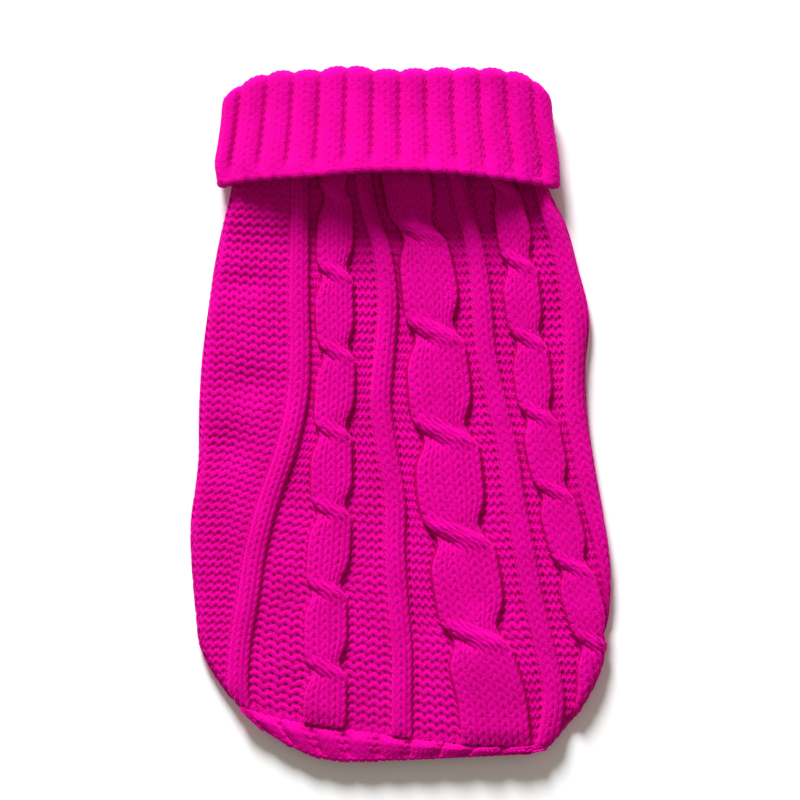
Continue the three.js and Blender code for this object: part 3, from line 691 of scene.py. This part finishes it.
def yarn_piece(name, runs):
    """One mesh from several sets of yarns: dicts of centres, normals and radius, with flat, closed,
    sides and soft where they aren't the usual ones."""
    verts, faces, lit = [], [], []
    base = 0
    for run in runs:
        points, polygons, light = tubes(
            run["centres"], run["normals"], run["radius"], run.get("flat", 1),
            run.get("closed", False), run.get("sides", YARN_SIDES), run.get("soft", RIB_SOFT))
        verts.append(points)
        lit.append(light)
        faces.extend([[base + corner for corner in polygon] for polygon in polygons])
        base += len(points)
    verts = np.concatenate(verts)
    verts[:, 2] = np.maximum(verts[:, 2], FLOOR_GAP)
    piece = mesh_object(name, verts, faces, yarn_material)
    piece.data.normals_split_custom_set_from_vertices(unit(np.concatenate(lit)).tolist())
    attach(piece, "root")
    return piece


# Materials

YARN_COLOUR = (0.82, 0.001, 0.335)
YARN_DARK = (0.60, 0.001, 0.20)
YARN_SHEEN = 0.8
# The ground shells are coloured darker than the yarn: painted shade for the gaps between stitches,
# where the ground shows through
SHELL_PAINTED_SHADE = (0.48, 0.0005, 0.12)
SHELL_PAINTED_SHADE_DARK = (0.38, 0.0005, 0.09)
WOOL = {
    "Roughness": 0.9,
    "Specular IOR Level": 0.12,
    "Specular Tint": (1.0, 0.1, 0.6, 1.0),
    "Sheen Roughness": 0.45,
    "Sheen Tint": (1.0, 0.02, 0.42, 1.0),
}
MOTTLE = {"Scale": 60.0, "Detail": 8.0, "Roughness": 0.72}
FUZZ = {"Scale": 1000.0, "Detail": 5.0, "Roughness": 0.7}
FUZZ_SHADE_IN_TONE = 0.5        # share of the fuzz in the colour, next to the mottle; the fuzz also sets the bump's height, so this darkens the bump's hollows: painted shade, along with random tone
FUZZ_BUMP = {"Strength": 0.9, "Distance": 0.0006}
PAPER = {"Base Color": (1, 1, 1, 1), "Roughness": 1.0}
DARK_TONE = 0.34          # noise up to which yarn is dark, and from which it has its full colour
FULL_TONE = 0.56


def with_inputs(node, values):
    for name, value in values.items():
        node.inputs[name].default_value = value
    return node


def knit_material(name, colour, dark, sheen):
    material = bpy.data.materials.new(name)
    material.use_nodes = True
    links = material.node_tree.links
    nodes = material.node_tree.nodes
    shader = with_inputs(nodes["Principled BSDF"], {**WOOL, "Sheen Weight": sheen})
    place = nodes.new("ShaderNodeTexCoord")
    mottle = with_inputs(nodes.new("ShaderNodeTexNoise"), MOTTLE)
    fuzz = with_inputs(nodes.new("ShaderNodeTexNoise"), FUZZ)
    tone_and_shade = with_inputs(nodes.new("ShaderNodeMix"), {"Factor": FUZZ_SHADE_IN_TONE})
    bump = with_inputs(nodes.new("ShaderNodeBump"), FUZZ_BUMP)
    ramp = nodes.new("ShaderNodeValToRGB")
    tones = zip(ramp.color_ramp.elements, (DARK_TONE, FULL_TONE), (dark, colour))
    for element, position, shade in tones:
        element.position = position
        element.color = (*shade, 1)
    links.new(place.outputs["Object"], mottle.inputs["Vector"])
    links.new(place.outputs["Object"], fuzz.inputs["Vector"])
    links.new(mottle.outputs["Fac"], tone_and_shade.inputs["A"])
    links.new(fuzz.outputs["Fac"], tone_and_shade.inputs["B"])
    links.new(tone_and_shade.outputs["Result"], ramp.inputs["Fac"])
    links.new(ramp.outputs["Color"], shader.inputs["Base Color"])
    # the same noise makes the bump, so the colour is darker in the bump's hollows: painted shade
    links.new(fuzz.outputs["Fac"], bump.inputs["Height"])
    links.new(bump.outputs["Normal"], shader.inputs["Normal"])
    return material


yarn_material = knit_material("knit_yarn", YARN_COLOUR, YARN_DARK, YARN_SHEEN)
# painted shade: the ground's material is darker than the yarn so that the gaps between stitches look
# shadowed
painted_shade_shell_material = knit_material("knit_ground_painted_shade", SHELL_PAINTED_SHADE, SHELL_PAINTED_SHADE_DARK, 0.0)


# Back panel: each row of a strip is one yarn through its columns

def relief_at(u, y, names):
    """Height of the named lines over the ground."""
    rise = 0 * u
    for name in names:
        feature = FEATURES[name]
        across = (u - look_up(LINES, name, y)) / look_up(HALF_WIDTHS, feature["kind"], y)
        if "pitch" in feature:
            across = across / (1 - pinch_at(feature, y, np.sign(across)))
            shape = cable_shape(feature, across, y)
        else:
            shape = np.maximum(0, 1 - across ** 2)
        rise = np.maximum(rise, feature["rise"] * shape)
    return rise


def over_place(phase):
    """Place of the strand on top when this share of its crossing has gone."""
    return mix(-STRAND_PLACE, STRAND_PLACE, smooth(phase))


def strand_round(away):
    return np.sqrt(np.maximum(0, 1 - (away / STRAND_HALF) ** 2))


def cable_shape(feature, across, y):
    """Height over a cable, in its rises. The strand that moves to the right lies on top; what is
    right of it is yet to go under, and what is left of it has come out."""
    turn = (feature["first"] + feature["span"] / 2 - y) / feature["pitch"]
    phase = np.minimum((turn - np.floor(turn)) * feature["pitch"] / feature["span"], 1)
    over = over_place(phase)
    upper = (STRAND_LEVEL + STRAND_OVER * np.sin(math.pi * phase)) * strand_round(across - over)
    return np.maximum(upper, under_shape(phase, over, across))


def under_dip(away, phase):
    """Dip of a strand next to the edge of the one that crosses over it."""
    return np.exp(-(away / UNDER_REACH) ** 2) * np.sin(math.pi * phase)


def under_shape(phase, over, across):
    right = across > over
    centre = np.where(right, STRAND_PLACE, -STRAND_PLACE)
    depth = np.where(right, UNDER_DIP_RIGHT, UNDER_DIP_LEFT)
    dip = depth * under_dip(across - over - centre, phase)
    return STRAND_LEVEL * strand_round(across - centre) * (1 - dip)


def gaps():
    """Ground between the lines: its edges and how many stitches it has, from left to right."""
    first, last = LINE_ORDER[0], LINE_ORDER[-1]
    found = [(lambda y: seam_places(y)[0] + SEAM_EDGE, left_edge(first), LEFT_STITCHES)]
    for name, following in zip(LINE_ORDER, LINE_ORDER[1:]):
        found.append((right_edge(name), left_edge(following), FEATURES[name]["ground"]))
    found.append((right_edge(last), lambda y: seam_places(y)[1] - SEAM_EDGE, FEATURES[last]["ground"]))
    return found


GAPS = gaps()


def squeeze_at(u, y):
    """How deep the ground sinks between the lines, and more where its stitches are squeezed."""
    depth = 0 * u
    for index, (start, end, count) in enumerate(GAPS):
        low, high = start(y), end(y)
        pitch = (high - low) / count
        if 0 < index < len(GAPS) - 1:
            low_reach = smooth((u - low) / GUTTER_REACH + 0.5)
            high_reach = smooth((high - u) / GUTTER_REACH + 0.5)
            depth = np.maximum(depth, GUTTER * low_reach * high_reach)
        inside = 1 - np.abs(2 * u - low - high) / np.maximum(high - low, LEAST_GAP)
        squeeze = np.clip(1 - pitch / FULL_WIDTH, 0, 1) * smooth(SINK_SLOPE * inside + SINK_EDGE)
        depth = np.maximum(depth, SINK * squeeze)
    return depth


def strip_rows(edges, knit, rise, sink=None, rows=None):
    """Rows of yarn through columns with the given edges. rise is the height over the ground, and
    sink how deep a stitch is tucked in."""
    column, row, swing, flat, width = loop_path(knit)
    rows = (np.arange(BODY_STITCH_ROWS) if rows is None else rows)[:, None]
    part = np.clip((rows + 0.5 - row) / BODY_STITCH_ROWS, ROW_END, 1 - ROW_END)
    at = np.clip(column, 0, len(knit))
    number = np.minimum(at.astype(int), len(knit) - 1)

    def column_edges(y):
        """Left and right edge of the column that each point of the yarn is in."""
        places = np.stack([edge(y) for edge in edges])
        index = np.broadcast_to(number, y.shape)[None]
        return np.take_along_axis(places, index, 0)[0], np.take_along_axis(places, index + 1, 0)[0]

    def surface(u, y):
        return body_point(u, y, rise(u, y), -squeeze_at(u, y))

    u, y = row_point(lambda y: mix(*column_edges(y), at - number), part)
    low, high = column_edges(y)
    thin = np.clip((high - low) / FULL_WIDTH, THINNEST, 1)
    centres, normals = on_relief(surface, u, y, (NORMAL_STEP, NORMAL_STEP))
    upward = smooth(on_tube(body_section(y), u)[3] / SIDE_FACING)
    depth = swing * mix(SIDE_SWING, 1, upward)
    if sink:
        depth = depth - sink(y, column / len(knit))
    return {
        "centres": centres + normals * depth[..., None],
        "normals": normals,
        "radius": width * thin,
        "flat": flat * mix(SIDE_FLAT, 1, upward) / thin ** 0.5,
        "soft": np.where(width > YARN * (KNIT_WIDTH + PURL_WIDTH) / 2, PURL_SOFT, KNIT_SOFT),
    }


def edge_between(start, end, part):
    return lambda y: mix(start(y), end(y), part)


def strip_edges(stripe):
    """Edges and stitches of a stripe and the ground on both sides of it, from cable to cable."""
    index = LINE_ORDER.index(stripe)
    before, after = GAPS[index], GAPS[index + 1]
    count = FEATURES[stripe]["stitches"]
    more = SMOOTH_END if stripe == LINE_ORDER[-1] else 0
    knit = [-1] * before[2] + [1] * (count + more) + [-1] * (after[2] - more)
    edges = []
    for start, end, columns in (before, (left_edge(stripe), right_edge(stripe), count), after):
        edges += [edge_between(start, end, i / columns) for i in range(columns)]
    return edges + [after[1]], knit


def strand_rows(name, number):
    """Rows of one strand of a cable. It comes out from under the strand of the crossing above, on
    the left, moves over to the right at its own crossing and goes under at the next one."""
    feature = FEATURES[name]
    span = feature["span"]
    count = feature["stitches"] // 2
    if number > feature.get("crossings", number):
        return []

    def half_width(y):
        return look_up(HALF_WIDTHS, feature["kind"], y)

    def crossing(y, step):
        """How far the strand on top has gone at a crossing, and its place."""
        phase = np.clip((crossing_y(feature, number + step) + span / 2 - y) / span, 0, 1)
        return phase, over_place(phase)

    def apart(phase):
        """1 where the strand crosses over and has a round form of its own."""
        return smooth(STRAND_APART * np.minimum(phase, 1 - phase))

    def sides(y):
        """Left and right edge, in half widths from the cable's middle."""
        phase, place = crossing(y, 0)
        wide = STRAND_WIDE + STRAND_SPREAD * np.sin(math.pi * phase)
        ends = []
        for side in (-1, 1):
            below = (crossing_y(feature, number + side) - y) / span
            ends.append(place + side * (wide - pinch_near(below, side)))
        return ends

    def edge(part):
        return lambda y: look_up(LINES, name, y) + half_width(y) * mix(*sides(y), part)

    def over_edges(y):
        """Left edge of the strand on top at the crossing above, right edge at the one below."""
        above, below = crossing(y, -1), crossing(y, 1)
        return above[0], above[1] - STRAND_PLACE, below[0], below[1] + STRAND_PLACE

    def rise(u, y):
        across = (u - look_up(LINES, name, y)) / half_width(y)
        phase = crossing(y, 0)[0]
        above, left, below, right = over_edges(y)
        dip = UNDER_DIP_LEFT * under_dip(across - left, above)
        dip = dip + UNDER_DIP_RIGHT * under_dip(across - right, below)
        level = STRAND_LEVEL * (1 - dip) + STRAND_OVER * np.sin(math.pi * phase)
        low, high = sides(y)
        own = strand_round(STRAND_WIDE * (2 * across - low - high) / (high - low))
        pinch = 1 - pinch_at(feature, y, np.sign(across))
        joined = strand_round(STRAND_WIDE * across / pinch)
        return feature["rise"] * level * mix(joined, own, apart(phase))

    def sink(y, share):
        """How deep a stitch lies that is under another strand or at an outer edge of its own."""
        phase = crossing(y, 0)[0]
        across = mix(*sides(y), share)
        _, left, _, right = over_edges(y)
        hidden = np.where(phase <= 0, smooth((across - left) / UNDER_SLOPE), 0)
        hidden = hidden + np.where(phase >= 1, smooth((right - across) / UNDER_SLOPE), 0)
        left_end = np.maximum(apart(phase), phase < 0.5) * smooth(1 - share * count / END_REACH)
        right_end = np.maximum(apart(phase), phase > 0.5) * smooth(1 - (1 - share) * count / END_REACH)
        return END_SINK * (left_end + RIGHT_END * right_end) + UNDER_SINK * hidden

    start = crossing_y(feature, number - 1) + STRAND_MARGIN * span
    stop = crossing_y(feature, number + 1) - STRAND_MARGIN * span
    rows = np.arange(BODY_STITCH_ROWS)
    y = row_point(lambda y: look_up(LINES, name, y), (rows + 0.5) / BODY_STITCH_ROWS)[1]
    rows = rows[(y < start) & (y > stop)]
    if not len(rows):
        return []
    edges = [edge(i / count) for i in range(count + 1)]
    return [strip_rows(edges, [1] * count, rise, sink, rows)]


def cable_yarns(name):
    """All the strands of a cable, from the one that is already under way at the neck."""
    reach = NECK_Y - hem_seam_at(HEM_SEAM["x"][-1])
    found = []
    for number in range(-2, int(reach / FEATURES[name]["pitch"]) + 2):
        found += strand_rows(name, number)
    return found


def stripes_rise(u, y):
    return relief_at(u, y, STRIPES)


for piece_name, stripe in STRIPS.items():
    yarn_piece(piece_name, [strip_rows(*strip_edges(stripe), stripes_rise)])
for name in CABLES:
    yarn_piece("knit_" + name, cable_yarns(name))


# Collar and hem band

def ring_rows(point, ribs, rib, rows, lead, steps=STITCH_STEPS, sides=YARN_SIDES,
              deep=1.0, purl_swing=VALLEY_SWING, soft=RIB_SOFT):
    """Closed rounds of yarn. rib is the stitches of one rib and their shares of it; lead gives the
    stretch of a row number, and deep is the share of a valley's whole depth."""
    knit, widths = rib
    total = 2 * (ribs + SIDE_RIBS)
    column, row, swing, flat, width = loop_path(knit * total, steps, True, purl_swing)
    bounds = np.concatenate([[0], np.cumsum(widths)])
    bounds = np.concatenate([bounds[:-1] + i for i in range(total + 2)])
    place = np.interp(column + len(knit), np.arange(len(bounds)), bounds) - 1 + RIB_START
    stretch = lead(rows[:, None] + 0.5 + row[None, :])
    place = np.broadcast_to(place, stretch.shape)

    def surface(place, stretch):
        return point(place, stretch, deep * rib_valley(place, stretch))

    centres, normals = on_relief(surface, place, stretch, RIB_STEPS)
    thin = mix(VALLEY_WIDTH, 1, smooth(VALLEY_SLOPE * rib_profile(place)))
    return {
        "centres": centres + normals * RIB_SWING * swing[:, None],
        "normals": normals,
        "closed": True,
        "sides": sides,
        "soft": soft,
        "flat": RIB_FLAT * flat / thin ** 0.5,
        "radius": RIB_WIDTH * thin * width,
    }


def collar_lead(row):
    """Stretch of a row: 1 at the fold's start, 2 at its end and 3 at the neck seam."""
    before = 2
    stops = [-before, COLLAR_OUTER_ROWS, COLLAR_FOLD_END, COLLAR_ROWS]
    return np.maximum(np.interp(row, stops, [-before / COLLAR_OUTER_ROWS, 1, 2, 3]), RIM_PLACE)


def hem_lead(row):
    return np.clip((HEM_ROWS - row) / HEM_ROWS, *HEM_ENDS)


def edge_yarn(point, ribs, stretch, radius, waves, sides=YARN_SIDES):
    """Cast-off edge: a thick round of yarn that swells a little at each wave."""
    total = 2 * (ribs + SIDE_RIBS)
    place = total * np.arange(waves * WAVE_STEPS) / (waves * WAVE_STEPS)
    wave = -np.cos(2 * math.pi * waves * place / total)
    centres, normals = point(place, stretch - RIM_DROP * wave, radius - RIM_WAVE * wave)
    return {
        "centres": centres[None],
        "normals": normals[None],
        "closed": True,
        "sides": sides,
        "radius": (radius + RIM_WAVE * wave / 2)[None],
    }


yarn_piece("knit_collar", [
    ring_rows(collar_point, COLLAR_RIBS, COLLAR_RIB, np.arange(COLLAR_FOLD_END), collar_lead),
    edge_yarn(collar_point, COLLAR_RIBS, RIM_PLACE, RIM_RADIUS, RIM_WAVES, RIM_SIDES),
])
yarn_piece("knit_neck", [
    ring_rows(collar_point, COLLAR_RIBS, COLLAR_RIB, np.arange(COLLAR_FOLD_END, COLLAR_ROWS),
              collar_lead, PLAIN_STEPS, PLAIN_SIDES),
])
yarn_piece("knit_hem", [
    ring_rows(hem_point, HEM_RIBS, HEM_RIB, np.arange(HEM_ROWS), hem_lead,
              deep=HEM_DEEP, purl_swing=PURL_SWING, soft=KNIT_SOFT),
    edge_yarn(hem_point, HEM_RIBS, HEM_RIM_PLACE, HEM_RIM_RADIUS, HEM_RIM_WAVES),
])


# Belly and leg bands

def in_leg_oval(x, y, more):
    """True within this distance of a leg band's seam, or inside it."""
    inside = np.zeros(np.shape(x), bool)
    for middle in LEG_X.values():
        half = np.array(LEG_HOLE) + LEG_BAND + SEAM_GAP + more
        inside |= ((x - middle) / half[0]) ** 2 + ((y - LEG_Y) / half[1]) ** 2 < 1
    return inside


def belly_yarns():
    """The belly's rows, in runs between its seams and the leg bands."""
    column, row, swing, flat, width = loop_path([-1] * BELLY_STITCHES, PLAIN_STEPS)
    across = np.clip(column / BELLY_STITCHES, 0, 1)
    found = []
    for number in range(BELLY_ROWS):
        part = np.clip((number + 0.5 - row) / BELLY_ROWS, ROW_END, 1 - ROW_END)
        centres, normals = belly_point(across, part, -swing)
        keep = ~in_leg_oval(centres[:, 0], centres[:, 1], YARN)
        ends = np.flatnonzero(np.diff(np.concatenate([[0], keep.astype(int), [0]])))
        for start, stop in zip(ends[::2], ends[1::2]):
            if stop - start >= SHORTEST_RUN:
                run = slice(start, stop)
                found.append({"centres": centres[None, run], "normals": normals[None, run],
                              "flat": flat[None, run], "radius": width[None, run],
                              "sides": PLAIN_SIDES})
    return found


def leg_point(side, angle, stretch, depth):
    """Point over a leg band's underside, from the hole at stretch 0 to its seam at 1."""
    across = LEG_BAND * stretch
    x = LEG_X[side] + (LEG_HOLE[0] + across) * np.cos(angle)
    y = LEG_Y + (LEG_HOLE[1] + across) * np.sin(angle)
    return facing_down(x, y, depth)


def leg_yarns(side):
    column, row, swing, flat, width = loop_path([1, -1] * (LEG_STITCHES // 2), closed=True)
    rows = np.arange(LEG_ROWS)[:, None]
    stretch = np.clip((rows + 0.5 + row) / LEG_ROWS, *LEG_ENDS)
    angle = np.broadcast_to(2 * math.pi * column / LEG_STITCHES, stretch.shape)
    centres, normals = leg_point(side, angle, stretch, np.broadcast_to(-swing, stretch.shape))
    return {"centres": centres, "normals": normals, "closed": True, "flat": flat, "radius": width}


yarn_piece("knit_belly", belly_yarns())
for side in LEG_X:
    yarn_piece("knit_leg_" + side, [leg_yarns(side)])


# Floor

def stage_floor():
    material = bpy.data.materials.new("floor_paper")
    material.use_nodes = True
    with_inputs(material.node_tree.nodes["Principled BSDF"], PAPER)
    corners = np.array([[-1, -1, 0], [1, -1, 0], [1, 1, 0], [-1, 1, 0]])
    mesh_object("floor", corners * FLOOR_HALF / MM, [[0, 1, 2, 3]], material)


stage_floor()


# Shells: the ground that the yarn lies on, on each solid's form, coloured darker than the yarn as
# painted shade in the gaps between stitches

def wall(name, outer, inner, wrap=False, cut=None):
    """Closed thin wall between two grids of points. wrap joins its last column to its first, and
    quads that touch a place where cut is true are left out."""
    rows, columns, _ = outer.shape
    half = rows * columns
    verts = np.concatenate([outer.reshape(-1, 3), inner.reshape(-1, 3)])
    index = np.arange(half).reshape(rows, columns)
    if wrap:
        index = np.concatenate([index, index[:, :1]], 1)
    quads = np.stack([index[:-1, :-1], index[1:, :-1], index[1:, 1:], index[:-1, 1:]], -1)
    quads = quads.reshape(-1, 4)
    if cut is not None:
        quads = quads[~cut.reshape(-1)[quads].any(1)]
    edges = np.concatenate([quads[:, [i, (i + 1) % 4]] for i in range(4)]).tolist()
    known = {tuple(edge) for edge in edges}
    border = np.array([edge for edge in edges if (edge[1], edge[0]) not in known])
    rim = np.stack([border[:, 1], border[:, 0], border[:, 0] + half, border[:, 1] + half], -1)
    faces = np.concatenate([quads, quads[:, ::-1] + half, rim]).tolist()
    piece = mesh_object(name, verts, faces, painted_shade_shell_material)
    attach(piece, "root")
    return piece


def panel_grid(columns, rows):
    return np.meshgrid(np.linspace(0, 1, columns), np.linspace(SHELL_END, 1 - SHELL_END, rows))


def both_faces(shell, *values):
    return [shell(*values, depth) for depth in SHELL_DEPTHS]


def body_shell(depth):
    share, part = panel_grid(*BACK_GRID)
    u, y = row_point(lambda at: mix(*seam_places(at), share), part)
    return body_point(u, y, relief_at(u, y, LINE_ORDER), -depth - squeeze_at(u, y))[0]


def ring_shell(point, ribs, stretches, depth):
    ring = np.arange(0, 2 * (ribs + SIDE_RIBS), RING_STEP)
    places, stretches = np.meshgrid(ring, stretches)
    return point(places, stretches, depth + rib_valley(places, stretches))[0]


def belly_shell(depth):
    return belly_point(*panel_grid(*BELLY_GRID), depth)[0]


def leg_shell(side, depth):
    around = np.linspace(0, 2 * math.pi, LEG_GRID[0])[:-1]
    inwards = np.linspace(1 - LEG_SHELL_END, LEG_SHELL_END, LEG_GRID[1])
    return leg_point(side, *np.meshgrid(around, inwards), depth)[0]


wall("back_ground", *both_faces(body_shell))
down_collar = [*np.linspace(0, 1, 14), *np.linspace(1, 2, 7)[1:], *np.linspace(2, 3, 10)[1:]]
collar_faces = both_faces(ring_shell, collar_point, COLLAR_RIBS, down_collar)
wall("collar_ground", *collar_faces, wrap=True)
hem_faces = both_faces(ring_shell, hem_point, HEM_RIBS, np.linspace(0, 1, 7))
wall("hem_ground", *hem_faces, wrap=True)

belly_yarn = ["knit_belly"]
for side in LEG_X:
    wall("leg_ground_" + side, *both_faces(leg_shell, side), wrap=True)
    belly_yarn += ["leg_ground_" + side, "knit_leg_" + side]
belly_faces = both_faces(belly_shell)
leg_cut = in_leg_oval(belly_faces[0][..., 0], belly_faces[0][..., 1], 0)
wall("belly_ground", *belly_faces, cut=leg_cut)

REPLACED = {
    "back_ground": "back_panel",
    "collar_ground": "collar",
    "hem_ground": "hem_band",
    "belly_ground": "belly_panel",
    "leg_ground_left": "leg_band_left",
    "leg_ground_right": "leg_band_right",
}
for name, node in REPLACED.items():
    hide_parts(node)


# Camera and light

def add_camera():
    """Camera straight above, at a scale of one photo pixel for each pixel of the picture."""
    data = bpy.data.cameras.new("camera")
    data.sensor_width = SENSOR
    data.lens = SENSOR * CAMERA_HEIGHT / (PHOTO_SIZE * PIXEL)
    data.clip_end = 100
    middle_y = (PART_MIDDLE_ROW - PHOTO_SIZE / 2) * PIXEL
    bpy.context.scene.camera = add_object("camera", data, (0, middle_y, CAMERA_HEIGHT))


def add_key_light():
    data = bpy.data.lights.new("key", "AREA")
    data.shape = "DISK"
    data.size = KEY_SIZE
    data.energy = KEY_POWER
    data.color = KEY_COLOUR
    lamp = add_object("key", data, KEY_PLACE)
    lamp.rotation_mode = "QUATERNION"
    lamp.rotation_quaternion = (-Vector(KEY_PLACE)).to_track_quat("-Z", "Y")


def add_world():
    world = bpy.data.worlds.new("world")
    world.use_nodes = True
    with_inputs(world.node_tree.nodes["Background"], WORLD_LIGHT)
    bpy.context.scene.world = world


add_camera()
add_key_light()
add_world()
bpy.context.scene.view_settings.view_transform = "Standard"
